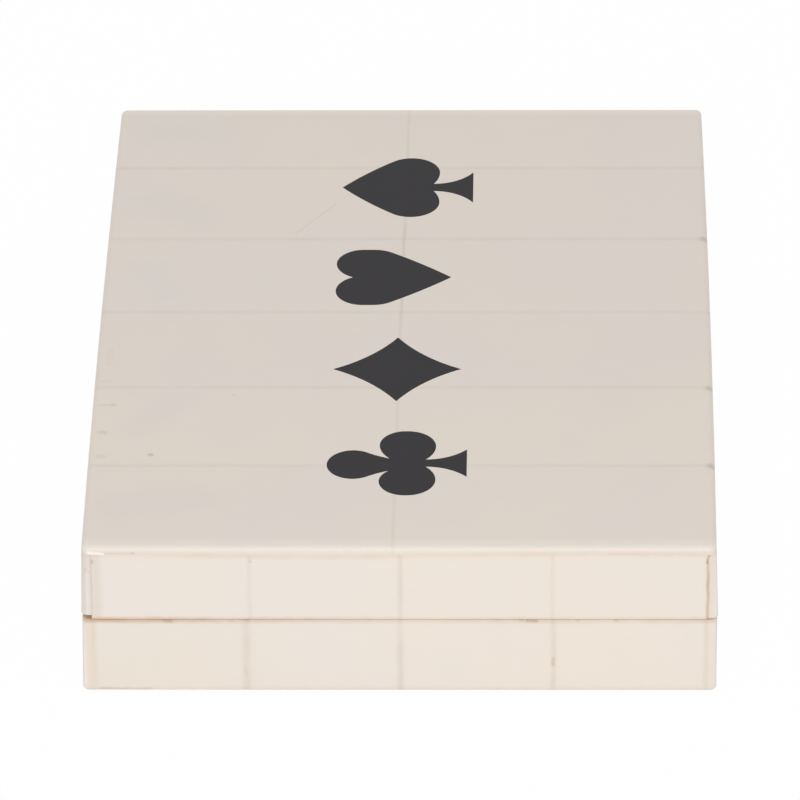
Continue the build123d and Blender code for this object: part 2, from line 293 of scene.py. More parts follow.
world = bpy.data.worlds.new("room")
bpy.context.scene.world = world
room = Finish(world)
room_lit = room.node("Background", inputs={"Color": room_colour, "Strength": room_level})
room_white = room.node("Background", inputs={"Color": (1, 1, 1, 1), "Strength": 1.0})
room_seen = room.node("MixShader", inputs={0: white_to_the_camera(room), 1: room_lit, 2: room_white})
room.node("OutputWorld", inputs={"Surface": room_seen}, outputs=())
print("room light", room_level)

# %% Lamps
# Angle is how far above the floor a lamp hangs, and turn how far to the right of the front, in degrees.
# Distance from the box and size are in metres, and power is in watts
lamps = {
    "lamp_above": {
        "angle": 40, "turn": 4, "distance": 0.8, "size": 0.6, "power": 0.95, "tint": (1, 1, 1)},
    "lamp_in_front": {
        "angle": 12, "turn": -6, "distance": 1.6, "size": 1.1, "power": 6.1, "tint": (0.97, 1, 1.04)},
}
for lamp_name, lamp in lamps.items():
    light = bpy.data.lights.new(lamp_name, "AREA")
    light.size = lamp["size"]
    light.energy = lamp["power"]
    light.color = lamp["tint"]
    angle, turn = radians(lamp["angle"]), radians(lamp["turn"])
    towards_lamp = Vector((sin(turn) * cos(angle), -cos(turn) * cos(angle), sin(angle)))
    lamp_object = bpy.data.objects.new(lamp_name, light)
    lamp_object.matrix_world = (Matrix.Translation(towards_lamp * lamp["distance"])
                                @ towards_lamp.to_track_quat("Z", "Y").to_matrix().to_4x4())
    bpy.context.scene.collection.objects.link(lamp_object)
print("lamps:", ", ".join(lamps))

# %% [markdown]
# ## Where the tiles meet
#
# Bone comes in short pieces, so a maker covers a box with tiles, and the glue between them shows as tan
# lines. The lines could be drawn by a repeating pattern, but the tiles here aren't all alike: the rear row
# is short, and several joints are a little off. The joints are read from the frame's own tiles, so each
# line follows its own joint.

# %% Joints read from the frame


def joints_along(node_name):
    """Where a row of tiles has its joints: the distinct X of its vertices, to 0.01 mm."""
    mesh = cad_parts[node_name].data
    places = np.empty(len(mesh.vertices) * 3)
    mesh.vertices.foreach_get("co", places)
    return np.unique(np.round(places.reshape(-1, 3)[:, 0] / mm, 2)) * mm


def in_mm(places):
    """Places in millimetres, for printing."""
    return np.round(np.array(places) / mm, 2)


top_rows = sorted(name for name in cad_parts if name.startswith("top_tile_") and name.endswith("_left"))
row_joints = [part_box(name)[1].y for name in top_rows[:-1]]
centre_joints = [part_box(name)[1].x for name in top_rows]
lid_front_joints = joints_along("lid_front_tiles")
base_front_joints = joints_along("base_front_tiles")
top_joint_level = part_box(top_rows[0])[0].z
top_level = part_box(top_rows[0])[1].z
seam_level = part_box("base_front_tiles")[1].z
base_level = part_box("base_front_tiles")[0].z
front_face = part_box("lid_front_tiles")[0].y
half_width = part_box("lid_right_tiles")[1].x
print("rows meet at", in_mm(row_joints), "mm, columns at", in_mm(centre_joints), "mm")
print("front tiles meet at", in_mm(lid_front_joints), "and", in_mm(base_front_joints), "mm")

# %% [markdown]
# ## Bone
#
# Polished bone is warm white with a low gloss. Each tile has its own tone, cloudy patches and a faint grain
# from left to right. A photograph could be wrapped round it, but then the pattern would repeat and blur.
# Noise on the object's own coordinates runs through every tile like real bone, at any distance.
#
# Glue and dust darken the bone beside a joint. Multiplying the bone's colour by a tint keeps its patches
# and grain, so each line is only a mask: how strong it is on the joint, and how far it spreads.

# %% Glue
glue_tan = (0.62, 0.50, 0.36, 1.0)
glue_and_shade_orange = (0.75, 0.57, 0.43, 1.0)
glue_peach = (0.86, 0.58, 0.40, 1.0)
dust_grey = (0.50, 0.47, 0.42, 1.0)


def glue(distance_to, strength, width, tint=glue_tan):
    """Glue beside a joint: at full strength on it, and gone at this width. The strength may vary by place."""
    def draw(finish, x, y, z):
        amount = strength(finish, x, y, z) if callable(strength) else strength
        return finish.fade(distance_to(x, y, z), width, 0.0) * amount
    return draw, tint


def across_rows(x, y, z):
    """Distance to the nearest joint between two rows."""
    closest = abs(y - row_joints[0])
    for joint in row_joints[1:]:
        closest = closest.least(abs(y - joint))
    return closest


def at_column(place):
    """Distance to a joint at this X."""
    return lambda x, y, z: abs(x - float(place))


def at_level(level):
    """Distance to a joint at this height."""
    return lambda x, y, z: abs(z - level)


# %% Bone
bone_warm = colour(231, 221, 211)
bone_cool = colour(224, 217, 212)
bone_yellow = colour(233, 222, 206)
cloud_size = 14 * mm
cloud_limits = (0.5, 0.8)
cloud_share = 0.12
tile_share = 0.2
tile_seed = 0.5
yellow_size = 40 * mm
yellow_limits = (0.4, 0.65)
yellow_share = 0.35
grain_size = 0.9 * mm
grain_stretch = (0.12, 1.0, 1.0)
grain_depth = 0.016
wobble_size = 4 * mm
wobble_reach = 0.5 * mm
wear_size = 9 * mm
wear_limits = (0.3, 0.7)
wear_least = 0.7
wear_range = 0.6
relief_size = 6 * mm
relief_depth = 0.02 * mm
sunk_share = 0.4
bone_roughness = 0.36
cloud_roughness = 0.1
bone_look = {"Specular IOR Level": 0.35}


def bone(name, glues, marks, tile_columns, tile_rows, painted_shading=None):
    """Bone with glue in its joints, marks of its own, and painted light and shade where given.

    Each glue is a function of the finish, X, Y and Z that gives a mask, and the tint that the mask multiplies
    in. Each mark is a run between two places, with its width, its share and its colour; a few of them are
    painted highlights and painted shade. Shading, where given, is painted light and shade: a factor on the
    bone's brightness. Because no joint is dead straight, a slow noise moves every line and mark by up to half
    of wobble_reach. Another makes the glue up to three tenths weaker or stronger.
    """
    finish = new_finish(name)
    place = finish.place()
    true_x, true_y, z = finish.split(place)
    column = sum((true_x > float(edge) for edge in tile_columns), start=true_x * 0)
    row = sum((true_y > float(edge) for edge in tile_rows), start=true_y * 0)
    tile_place = finish.join(column, row, tile_seed)
    tile_tone = finish.node("TexWhiteNoise", {"noise_dimensions": "3D"}, {"Vector": tile_place})
    clouds = finish.fade(finish.noise(place, cloud_size, detail=3.0), *cloud_limits)
    yellowing = finish.fade(finish.noise(place, yellow_size), *yellow_limits)
    grain = finish.noise(finish.stretch(place, grain_stretch), grain_size)
    tone = finish.mix(clouds * cloud_share + tile_tone * tile_share, bone_warm, bone_cool)
    tone = finish.mix(yellowing * yellow_share, tone, bone_yellow)
    wobble = (finish.noise(place, wobble_size) - 0.5) * wobble_reach
    x, y = true_x + wobble, true_y + wobble
    uneven_place = finish.join(x, y, z + wobble)
    for start, end, width, share, mark_tone in marks:
        mask = finish.fade(finish.to_run(uneven_place, start, end), width, 0.0) * share
        tone = finish.mix(mask, tone, mark_tone)
    wear = finish.fade(finish.noise(place, wear_size, detail=3.0), *wear_limits)
    sunk = x * 0
    for draw, tint in glues:
        stain = (draw(finish, x, y, z + wobble) * (wear * wear_range + wear_least)).least(1.0)
        tone = finish.mix(stain, tone, tint, "MULTIPLY")
        sunk = sunk.most(stain)
    shade = 1 - grain_depth / 2 + grain * grain_depth
    # Painted light and shade, where given, scales the brightness
    if painted_shading:
        shade = shade * painted_shading(finish, x, y, z)
    tone = finish.mix(1.0, tone, finish.join(shade, shade, shade), "MULTIPLY")
    relief = finish.noise(place, relief_size, detail=3.0) - sunk * sunk_share
    roughness = bone_roughness + clouds * cloud_roughness
    normal = finish.bump(relief, relief_depth)
    return finish.finish_with({"Base Color": tone, "Roughness": roughness, "Normal": normal}, bone_look)


# %% [markdown]
# ## Marks of its own, and painted light
#
# No two tiles of bone are alike, and years of handling add scratches, specks and stains. A few marks are
# painted light and shade instead: highlights on a chip and on the rounded upright corners, and shade over
# the left of the base front. Each mark is a straight run between two places on the box, in millimetres,
# because even a round spot is a very short run.
# The distance from the surface to that run, through a smooth step, is its mask.

# %% Marks on the top
patch_grey = colour(219, 213, 210)
stain_brown = colour(190, 165, 140)
stain_dark = colour(158, 128, 102)
stain_pink = colour(222, 200, 186)
speck_grey = colour(190, 178, 168)
scratch_grey = colour(214, 203, 192)
chip_highlight_white = colour(250, 246, 243)
spot_length = 0.1 * mm


def on_top(x, y):
    """A place on the top, in millimetres from the middle."""
    return Vector((x * mm, y * mm, top_level))


def on_front(x, z):
    """A place on the front face, in millimetres from the middle and above the table."""
    return Vector((x * mm, front_face, z * mm))


def run(start, end, width, share, tone):
    """A mark from one place to another, whose width is in millimetres."""
    return start, end, width * mm, share, tone


def spot(place, width, share, tone):
    """A round mark: a run so short that it is a point."""
    return run(place, place + Vector((spot_length, 0, 0)), width, share, tone)


top_marks = [
    run(on_top(-60, 84), on_top(-48, 84), 10, 0.25, patch_grey),
    run(on_top(-62, 52), on_top(-50, 46), 11, 0.25, patch_grey),
    run(on_top(-60, 20), on_top(-56, 11), 9, 0.22, patch_grey),
    spot(on_top(-33.2, 14.4), 6, 0.15, patch_grey),
    run(on_top(-60, -47), on_top(-50, -33), 8, 0.2, patch_grey),
    run(on_top(-64, -79), on_top(-48, -76), 10, 0.22, patch_grey),
    run(on_top(-26.2, 37.6), on_top(-17.1, 50.8), 0.45, 0.5, scratch_grey),
    spot(on_top(-56.3, -58.2), 1.1, 0.7, speck_grey),
    spot(on_top(-65.6, -37.4), 0.9, 0.4, speck_grey),
    spot(on_top(-38.6, -33.2), 0.7, 0.3, speck_grey),
    run(on_top(-67.4, -14.0), on_top(-67.4, -20.0), 1.6, 0.25, stain_pink),
    run(on_top(-68.4, -27.5), on_top(-66.8, -27.5), 1.2, 0.3, stain_pink),
    run(on_top(-68.6, -37.4), on_top(-66.0, -37.4), 0.7, 0.2, stain_brown),
    run(on_top(-67.9, -48.9), on_top(-67.0, -48.9), 1.3, 0.28, stain_brown),
    run(on_top(-67.8, -58.9), on_top(-66.8, -58.9), 1.3, 0.22, stain_brown),
    spot(on_top(69.4, 34.8), 1.9, 0.5, stain_brown),
    spot(on_top(69.6, -30.3), 1.9, 0.5, stain_brown),
    spot(on_top(69.4, -62.8), 1.9, 0.5, stain_brown),
    # Painted highlight: near white on a chip in the top's front-left edge, as if its facet caught the light
    run(on_front(-68.3, 37.55), on_front(-65.2, 37.1), 0.65, 1.0, chip_highlight_white),
    run(on_front(-64.5, 37.4), on_front(-59.0, 37.4), 0.6, 0.4, stain_pink),
    spot(on_front(-58.6, 37.4), 0.7, 0.35, stain_brown),
]
print(len(top_marks), "marks on the top tiles")

# %% Glue on the top
row_glue_strength = 0.11
row_glue_width = 1.2 * mm
centre_glue_width = 0.7 * mm
centre_dark_at = 18 * mm
centre_dark_limits = (30 * mm, 12 * mm)
centre_least = 0.14
centre_extra = 0.16
side_edge_strength = 0.11
side_edge_width = 1.8 * mm
under_top_width = 1.2 * mm
under_top_limits = (-58 * mm, -45 * mm)
under_top_least = 0.14
under_top_extra = 0.07
# Painted light and shade: by the top's front and rear edges the bone is painted lighter just inside the
# round, and darker on the round
edge_light_limits = (4.0 * mm, 1.6 * mm)
edge_light_share = 0.05
round_shade_limits = (1.2 * mm, 0.4 * mm)
round_shade_share = 0.065
sway_drop = 0.12 * mm
sway_reach = 0.35 * mm
sway_length = 130 * mm
sway_lowest = -20 * mm


def centre_distance(x, y, z):
    """Distance to the joint between the columns, which moves by the same step from row to row."""
    row = sum((y > joint for joint in row_joints), start=y * 0)
    step = (centre_joints[-1] - centre_joints[0]) / len(row_joints)
    return abs(x - (row * step + centre_joints[0]))


def centre_stain(finish, x, y, z):
    """How dark the joint between the columns is: darkest where it meets the heart."""
    return finish.fade(abs(y - centre_dark_at), *centre_dark_limits) * centre_extra + centre_least


def to_side_edge(x, y, z):
    """Distance to the left or right edge of the top."""
    return half_width - abs(x)


def under_top_tiles(x, y, z):
    """Distance to the joint under the top tiles, which sways up and down along X as a cosine."""
    turn = (x - sway_lowest) * (2 * np.pi / sway_length)
    return abs(z - (top_joint_level - sway_drop) + turn.cosine() * sway_reach)


def under_top_stain(finish, x, y, z):
    """How dark that joint is: it is cleaner near the left corner."""
    return finish.fade(x, *under_top_limits) * under_top_extra + under_top_least


def edge_light_and_shade(finish, x, y, z):
    """Painted light and shade by the front and rear edges: lighter just inside the round, darker on it."""
    inside = -front_face - abs(y)
    lighter = 1 + finish.fade(inside, *edge_light_limits) * edge_light_share
    return lighter - finish.fade(inside, *round_shade_limits) * round_shade_share


under_top_glue = glue(under_top_tiles, under_top_stain, under_top_width, glue_peach)
top_bone = bone(
    "top_bone",
    [glue(across_rows, row_glue_strength, row_glue_width, dust_grey),
     glue(centre_distance, centre_stain, centre_glue_width),
     glue(to_side_edge, side_edge_strength, side_edge_width), under_top_glue],
    top_marks, [centre_joints[0]], row_joints, edge_light_and_shade)
paint([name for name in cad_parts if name.startswith("top_tile_")], top_bone)

# %% Marks and glue on the front and the sides
# From left to right, each joint's strength and its width in millimetres
lid_glue = ((0.06, 0.6), (0.13, 0.9), (0.2, 1.15), (0.12, 0.9), (0.62, 0.6))
base_glue = ((0.08, 0.9), (0.2, 1.7), (0.18, 1.3), (0.17, 1.15), (0.1, 0.9))
seam_width = 1.35 * mm
seam_drop = 0.08 * mm
seam_limits = (-15 * mm, -45 * mm)
seam_least = 0.42
seam_extra = 0.35
foot_line_strength = 0.12
foot_line_width = 1.6 * mm
side_rows_strength = 0.2
side_rows_width = 1.1 * mm


def seam_stain_and_shade(finish, x, y, z):
    """How dark the seam is: glue, with the shade of the gap painted in, darker towards the left corner."""
    return finish.fade(x, *seam_limits) * seam_extra + seam_least


def columns(places, looks):
    """Glue in a row of joints, each with its own strength and its width in millimetres."""
    return [glue(at_column(place), strength, width * mm) for place, (strength, width) in zip(places, looks)]


left_joint, right_joint = float(lid_front_joints[0]) / mm, float(lid_front_joints[-1]) / mm
base_joint = float(base_front_joints[-1]) / mm
peach = colour(228, 214, 199)
corner_highlight_white = colour(244, 234, 224)
painted_left_shade = colour(229, 219, 203)
corner_tan = colour(223, 211, 199)
corner_grey = colour(205, 195, 186)
chip_white = colour(238, 224, 212)
side_grey = colour(222, 211, 202)
side_white = colour(232, 227, 226)
speck_pink = colour(214, 186, 178)
corner_inset = 0.3 * mm


def on_corner(side, end, z):
    """A place on a rounded upright corner: side 1 is right, end 1 is the front."""
    return Vector((side * (half_width - corner_inset), end * (front_face + corner_inset), z * mm))


# Painted highlights: the rounded upright corners of lid and base are painted lighter from top to bottom
painted_corner_highlights = [run(on_corner(side, end, 37.0), on_corner(side, end, 1.0), 1.0, 0.9, corner_highlight_white)
                  for side in (-1, 1) for end in (-1, 1)]
base_marks = [run(on_front(x, 19.6), on_front(x + 0.5, 19.4), 0.6, 0.5, stain_brown)
              for x in (-45.9, -37.5, -33.9, 26.7, 39.1, 47.5)]
base_marks += [
    run(on_front(-52.0, 19.45), on_front(-50.6, 19.3), 0.85, 0.8, stain_brown),
    run(on_front(28.3, 19.5), on_front(30.3, 19.35), 0.8, 0.8, stain_brown),
    run(on_front(-67.0, 1.1), on_front(-55.6, 0.9), 0.8, 0.5, stain_brown),
    # Painted shade: a broad, warm darkening over the left part of the base front
    run(on_front(-72.0, 9.0), on_front(-50.0, 9.0), 35, 0.35, painted_left_shade),
    run(on_front(left_joint + 0.3, 19.0), on_front(left_joint + 0.1, 1.0), 1.6, 0.65, peach),
    run(on_front(base_joint, 19.0), on_front(base_joint, 1.0), 1.4, 0.4, peach),
    run(on_front(-34.4, 7.2), on_front(-34.3, 5.0), 0.8, 0.4, stain_pink),
    run(on_front(34.0, 9.2), on_front(34.05, 7.6), 0.7, 0.5, stain_brown),
    run(on_front(68.0, 18.8), on_front(68.0, 17.2), 0.7, 0.4, stain_pink),
]
lid_marks = [
    run(on_front(left_joint + 1.2, 36.6), on_front(left_joint + 1.2, 21.0), 2.0, 1.0, corner_tan),
    run(on_front(left_joint + 0.1, 36.6), on_front(left_joint + 0.1, 21.0), 0.55, 0.7, corner_grey),
    run(on_front(left_joint + 0.45, 35.4), on_front(left_joint + 0.45, 35.0), 0.7, 0.7, speck_grey),
    run(on_front(right_joint - 0.15, 35.8), on_front(right_joint - 0.2, 34.9), 0.45, 0.9, stain_dark),
    spot(on_front(right_joint - 0.25, 34.1), 0.5, 0.6, chip_white),
    run(on_front(right_joint - 0.3, 36.0), on_front(right_joint + 0.2, 20.5), 1.4, 0.45, peach),
    spot(on_front(-32.8, 35.2), 0.6, 0.3, stain_brown),
]
lid_side_marks = [
    *painted_corner_highlights,
    run(on_front(-69.4, 36.5), on_front(-69.4, 20.5), 2.6, 1.0, side_grey),
    run(on_front(-69.0, 31.6), on_front(-68.9, 21.8), 0.6, 0.5, side_white),
    run(on_front(-69.6, 35.2), on_front(-69.6, 26.0), 0.3, 0.4, speck_grey),
    spot(on_front(-69.2, 33.1), 0.8, 0.45, speck_pink),
    spot(on_front(-68.4, 32.3), 0.6, 0.35, speck_pink),
    run(on_front(right_joint + 0.7, 37.3), on_front(right_joint, 36.2), 0.5, 0.5, stain_brown),
    run(on_front(right_joint + 0.7, 36.0), on_front(right_joint + 0.5, 20.5), 1.1, 0.9, peach),
]
base_side_marks = [
    *painted_corner_highlights,
    run(on_front(-68.5, 19.0), on_front(-68.5, 1.0), 1.9, 1.0, peach),
    run(on_front(base_joint + 0.3, 19.0), on_front(base_joint + 0.2, 1.0), 1.2, 0.4, peach),
]
# The seam line is partly real glue and partly painted shade of the gap between lid and base, darker to the
# left
seam_glue_and_shade = glue(at_level(seam_level - seam_drop), seam_stain_and_shade, seam_width, glue_and_shade_orange)
# A darker tan line along the bottom edge of the base
foot_line = glue(at_level(base_level), foot_line_strength, foot_line_width)
side_rows_glue = glue(across_rows, side_rows_strength, side_rows_width)


def end_columns(joints, looks):
    """Glue in the first and the last joint of a row, which the side tiles share with the end tiles."""
    return columns((joints[0], joints[-1]), (looks[0], looks[-1]))


lid_end_bone = bone(
    "lid_end_bone", [*columns(lid_front_joints, lid_glue), under_top_glue, seam_glue_and_shade],
    lid_marks, lid_front_joints, [0.0])
lid_side_bone = bone(
    "lid_side_bone", [side_rows_glue, *end_columns(lid_front_joints, lid_glue), under_top_glue, seam_glue_and_shade],
    lid_side_marks, [0.0], row_joints)
base_end_bone = bone(
    "base_end_bone", [*columns(base_front_joints, base_glue), seam_glue_and_shade, foot_line],
    base_marks, base_front_joints, [0.0])
base_side_bone = bone(
    "base_side_bone", [side_rows_glue, *end_columns(base_front_joints, base_glue), seam_glue_and_shade, foot_line],
    base_side_marks, [0.0], row_joints)
paint(["lid_front_tiles", "lid_rear_tiles"], lid_end_bone)
paint(["lid_left_tiles", "lid_right_tiles"], lid_side_bone)
paint(["base_front_tiles", "base_rear_tiles"], base_end_bone)
paint(["base_left_tiles", "base_right_tiles"], base_side_bone)

# %% [markdown]
# ## Charcoal inlays
#
# The suits are cut from dark resin and sanded flush with the bone. They are nearly flat in colour and a
# little duller than the tiles, with a very fine relief.

# %% Charcoal
charcoal = colour(43, 41, 44)
charcoal_dust = colour(52, 49, 51)
charcoal_cloud_size = 4 * mm
charcoal_cloud_share = 0.5
charcoal_speck_size = 0.3 * mm
charcoal_speck_share = 0.3
charcoal_relief = 0.003 * mm
charcoal_look = {"Roughness": 0.5, "Specular IOR Level": 0.15}

charcoal_finish = new_finish("charcoal")
charcoal_place = charcoal_finish.place()
charcoal_clouds = charcoal_finish.noise(charcoal_place, charcoal_cloud_size, detail=4.0)
charcoal_specks = charcoal_finish.noise(charcoal_place, charcoal_speck_size, detail=1.0)
charcoal_dusting = charcoal_clouds * charcoal_cloud_share + charcoal_specks * charcoal_speck_share
charcoal_tone = charcoal_finish.mix(charcoal_dusting, charcoal, charcoal_dust)
charcoal_normal = charcoal_finish.bump(charcoal_specks, charcoal_relief)
charcoal_material = charcoal_finish.finish_with(
    {"Base Color": charcoal_tone, "Normal": charcoal_normal}, charcoal_look)
paint([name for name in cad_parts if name.endswith("_inlay")], charcoal_material)

# %% [markdown]
# ## Wood
#
# The boards, lip strips and dividers are light brown timber. Its grain is long streaks, so the noise is
# stretched along each board: the same finish is made once for the boards that run along X and once for
# those along Y.

# %% Wood
wood_light = colour(190, 152, 110)
wood_dark = colour(146, 108, 70)
ring_noise_size = 5 * mm
ring_count = 9
ring_share = 0.55
fibre_size = 0.5 * mm
fibre_share = 0.35
fibre_relief = 0.04 * mm
wood_stretch = 0.07
wood_roughness = 0.5
fibre_roughness = 0.2
wood_look = {"Specular IOR Level": 0.35}


def wood(name, grain_scale):
    """Timber of stretched noise. Rings are light where the noise times ring_count is whole, dark between."""
    finish = new_finish(name)
    along_grain = finish.stretch(finish.place(), grain_scale)
    broad = finish.noise(along_grain, ring_noise_size, detail=3.0)
    rings = (broad * ring_count).to_nearest(1.0) * 2
    fibres = finish.noise(along_grain, fibre_size)
    tone = finish.mix(rings * ring_share + fibres * fibre_share, wood_light, wood_dark)
    roughness = wood_roughness + fibres * fibre_roughness
    normal = finish.bump(fibres, fibre_relief)
    return finish.finish_with({"Base Color": tone, "Roughness": roughness, "Normal": normal}, wood_look)


wood_across = wood("wood_across", (wood_stretch, 1.0, 1.0))
wood_along = wood("wood_along", (1.0, wood_stretch, 1.0))
board_names = [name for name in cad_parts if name.endswith(("_board", "_wall", "_strip", "_divider"))]
runs_along = [name for name in board_names if "left" in name or "right" in name or "board" in name]
paint(runs_along, wood_along)
paint([name for name in board_names if name not in runs_along], wood_across)

# %% [markdown]
# ## Felt
#
# A sheet of felt lies in each well, one in the lid and one under the base. Felt is a mat of short fibres:
# matt, a little uneven in height, and soft at its cut edges. Particle hair would be far too heavy for so
# thin a nap. Each sheet is a thin closed surface instead, whose open face swells and dips by a few
# hundredths of a millimetre.

# %% A sheet as a surface
felt_step = 2.0 * mm
felt_waves = 0.06 * mm
felt_ripple_share = 0.4
felt_edge = 0.35 * mm
felt_edge_angle = radians(45)
# A sine turns by one radian over each of these three lengths
felt_swell_x = 7 * mm
felt_swell_y = 9 * mm
felt_ripple = 3.1 * mm


def new_piece(name, places, faces, body):
    """A mesh object from an array of points and a list of faces. It rides on a body."""
    mesh = bpy.data.meshes.new(name)
    mesh.from_pydata(places.reshape(-1, 3).tolist(), [], faces)
    mesh.update()
    piece = bpy.data.objects.new(name, mesh)
    bpy.context.scene.collection.objects.link(piece)
    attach(piece, body)
    return piece


def laid_sheet(low, high, facing):
    """A thin slab between two corners as a closed surface.

    Both faces are grids over the sheet. The face that shows, up for facing 1 and down for -1, rises and falls
    with sines of X and Y, and drops at the cut edge by a quarter circle. A rim joins the two borders.
    """
    across = np.linspace(low.x, high.x, round((high.x - low.x) / felt_step) + 1)
    along = np.linspace(low.y, high.y, round((high.y - low.y) / felt_step) + 1)
    inset = felt_edge * (1 - cos(felt_edge_angle))
    across = np.concatenate(([low.x, low.x + inset], across[1:-1], [high.x - inset, high.x]))
    along = np.concatenate(([low.y, low.y + inset], along[1:-1], [high.y - inset, high.y]))
    x, y = np.meshgrid(across, along, indexing="ij")
    to_edge = np.minimum.reduce([x - low.x, high.x - x, y - low.y, high.y - y])
    short = np.clip(1 - to_edge / felt_edge, 0, 1)
    edge_drop = felt_edge * (1 - np.sqrt(1 - short**2))
    swell = np.sin(x / felt_swell_x) * np.sin(y / felt_swell_y)
    ripple = np.sin((x + y) / felt_ripple) * felt_ripple_share
    highest = 1 + felt_ripple_share
    waves = (swell + ripple - highest) / (2 * highest)
    shown = (high.z if facing > 0 else low.z) + facing * (felt_waves * waves - edge_drop)
    hidden = np.full_like(x, low.z if facing > 0 else high.z)
    upper, lower = (shown, hidden) if facing > 0 else (hidden, shown)
    return np.stack([np.stack([x, y, upper], -1), np.stack([x, y, lower], -1)])


def slab_faces(rows, columns):
    """Faces of a slab of two grids, the upper first: both grids and the rim between their borders."""
    index = np.arange(rows * columns).reshape(rows, columns)
    upper = np.stack([index[:-1, :-1], index[1:, :-1], index[1:, 1:], index[:-1, 1:]], -1).reshape(-1, 4)
    lower = upper[:, ::-1] + rows * columns
    border = np.concatenate([index[:-1, 0], index[-1, :-1], index[:0:-1, -1], index[0, :0:-1]])
    after = np.roll(border, -1)
    rim = np.stack([after, border, border + rows * columns, after + rows * columns], -1)
    return np.concatenate([upper, lower, rim]).tolist()


# %% Felt finish and sheets
baize_light = colour(58, 92, 74)
baize_dark = colour(34, 62, 48)
foot_light = colour(84, 80, 78)
foot_dark = colour(52, 49, 48)
mat_size = 0.5 * mm
mat_share = 0.6
felt_fibre_size = 0.25 * mm
felt_fibre_stretch = (1.0, 0.2, 1.0)
felt_fibre_share = 0.4
felt_patch_size = 14 * mm
felt_patch_share = 0.15
nap_limits = (0.35, 0.8)
nap_relief = 0.25 * mm
felt_look = {"Roughness": 0.95, "Specular IOR Level": 0.15, "Sheen Weight": 0.25, "Sheen Roughness": 0.5}


def felt(name, light, dark):
    """Matted fibres: two noises of different size, one stretched, mixed between a light and a dark tone."""
    finish = new_finish(name)
    place = finish.place()
    mat = finish.noise(place, mat_size, detail=4.0)
    fibres = finish.noise(finish.stretch(place, felt_fibre_stretch), felt_fibre_size, detail=1.0)
    patches = finish.noise(place, felt_patch_size)
    nap = mat * mat_share + fibres * felt_fibre_share
    tone = finish.mix(finish.fade(nap + patches * felt_patch_share, *nap_limits), dark, light)
    return finish.finish_with({"Base Color": tone, "Normal": finish.bump(nap, nap_relief)}, felt_look)


baize = felt("baize", baize_light, baize_dark)
foot_baize = felt("foot_baize", foot_light, foot_dark)
felts = {
    "front_well_lining": ("base", "base_floor_board", 1, "lining_felt", baize),
    "dice_well_lining": ("base", "base_floor_board", 1, "lining_felt", baize),
    "rear_well_lining": ("base", "base_floor_board", 1, "lining_felt", baize),
    "lid_lining": ("lid", "lid_top_board", -1, "lining_felt", baize),
    "foot_felt": ("base", "base_floor_board", -1, "foot_felt", foot_baize),
}
for node_name, (body, carrier, facing, slot, material) in felts.items():
    low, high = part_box(node_name)
    places = laid_sheet(low, high, facing)
    sheet = new_piece(node_name + "_sheet", places, slab_faces(*places.shape[1:3]), body)
    sheet.data.materials.append(material)
    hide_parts(node_name)
    print(sheet.name, np.round(np.array(high - low) / mm, 1), "mm,", len(sheet.data.polygons), "faces")

# %% [markdown]
# ## Decks of cards
#
# A deck is 54 cards, 0.3 mm from one to the next, and no hand squares them perfectly. One block with lines
# on it would look machined, so every card is its own thin plate with rounded corners, moved and turned by a
# hair.

# %% Cards as stacked plates
card_count = 54
card_corner = 3.2 * mm
card_corner_steps = 7
card_shift = 0.12 * mm
card_shift_share = 0.6
card_turn = radians(0.12)
card_gap_share = 0.1
shuffle = np.random.default_rng(52)


def card_outline(width, length):
    """Points round a card, anticlockwise: each corner is a quarter circle about its own centre."""
    corner_signs = np.array([(1, 1), (-1, 1), (-1, -1), (1, -1)])
    centres = corner_signs * (np.array([width, length]) / 2 - card_corner)
    starts = np.radians([0, 90, 180, 270])[:, None]
    angles = starts + np.linspace(0, np.pi / 2, card_corner_steps)
    arcs = np.stack([np.cos(angles), np.sin(angles)], -1) * card_corner
    return (centres[:, None] + arcs).reshape(-1, 2)


def stack_of_cards(low, high):
    """All cards of a deck as one array of points, and the outline that they share.

    The array goes by card, by lower or upper face, by point round the outline, and by X, Y and Z.
    """
    outline = card_outline(high.x - low.x - 2 * card_shift, high.y - low.y - 2 * card_shift)
    turns = shuffle.uniform(-card_turn, card_turn, card_count)
    shifts = shuffle.uniform(-card_shift, card_shift, (card_count, 1, 2)) * card_shift_share
    turned = np.stack([outline[:, 0] * np.cos(turns)[:, None] - outline[:, 1] * np.sin(turns)[:, None],
                       outline[:, 0] * np.sin(turns)[:, None] + outline[:, 1] * np.cos(turns)[:, None]], -1)
    middle = np.array([low.x + high.x, low.y + high.y]) / 2
    flat = turned + shifts + middle
    pitch = (high.z - low.z) / card_count
    bottoms = low.z + pitch * np.arange(card_count)
    levels = np.stack([bottoms, bottoms + pitch * (1 - card_gap_share)], 1)
    levels[-1, 1] = high.z
    points = np.empty((card_count, 2, len(outline), 3))
    points[..., :2] = flat[:, None]
    points[..., 2] = levels[..., None]
    return points, outline


def plate_faces(plates, around):
    """Faces of plates: a polygon below, one above and quads round the edge."""
    starts = np.arange(plates) * 2 * around
    ring = np.arange(around)
    following = (ring + 1) % around
    faces = []
    for start in starts.tolist():
        lower, next_lower = start + ring, start + following
        upper, next_upper = lower + around, next_lower + around
        faces.append(lower[::-1].tolist())
        faces.append(upper.tolist())
        faces.extend(np.stack([lower, next_lower, next_upper, upper], -1).tolist())
    return faces


# %% Card backs
paper = colour(238, 234, 226)
paper_edge = colour(222, 216, 205)
back_margin = 4.5 * mm
back_frame = 0.7 * mm
lattice_pitch = 4.4 * mm
lattice_line = 0.5 * mm
lattice_dot = 0.9 * mm
print_edge = 0.1 * mm
frame_limits = (back_frame * 0.6, back_frame * 0.4)
line_limits = (lattice_line, lattice_line * 0.6)
dot_limits = (lattice_pitch / 2 - lattice_dot, lattice_pitch / 2 - lattice_dot * 0.7)
paper_look = {"Roughness": 0.38, "Specular IOR Level": 0.4}


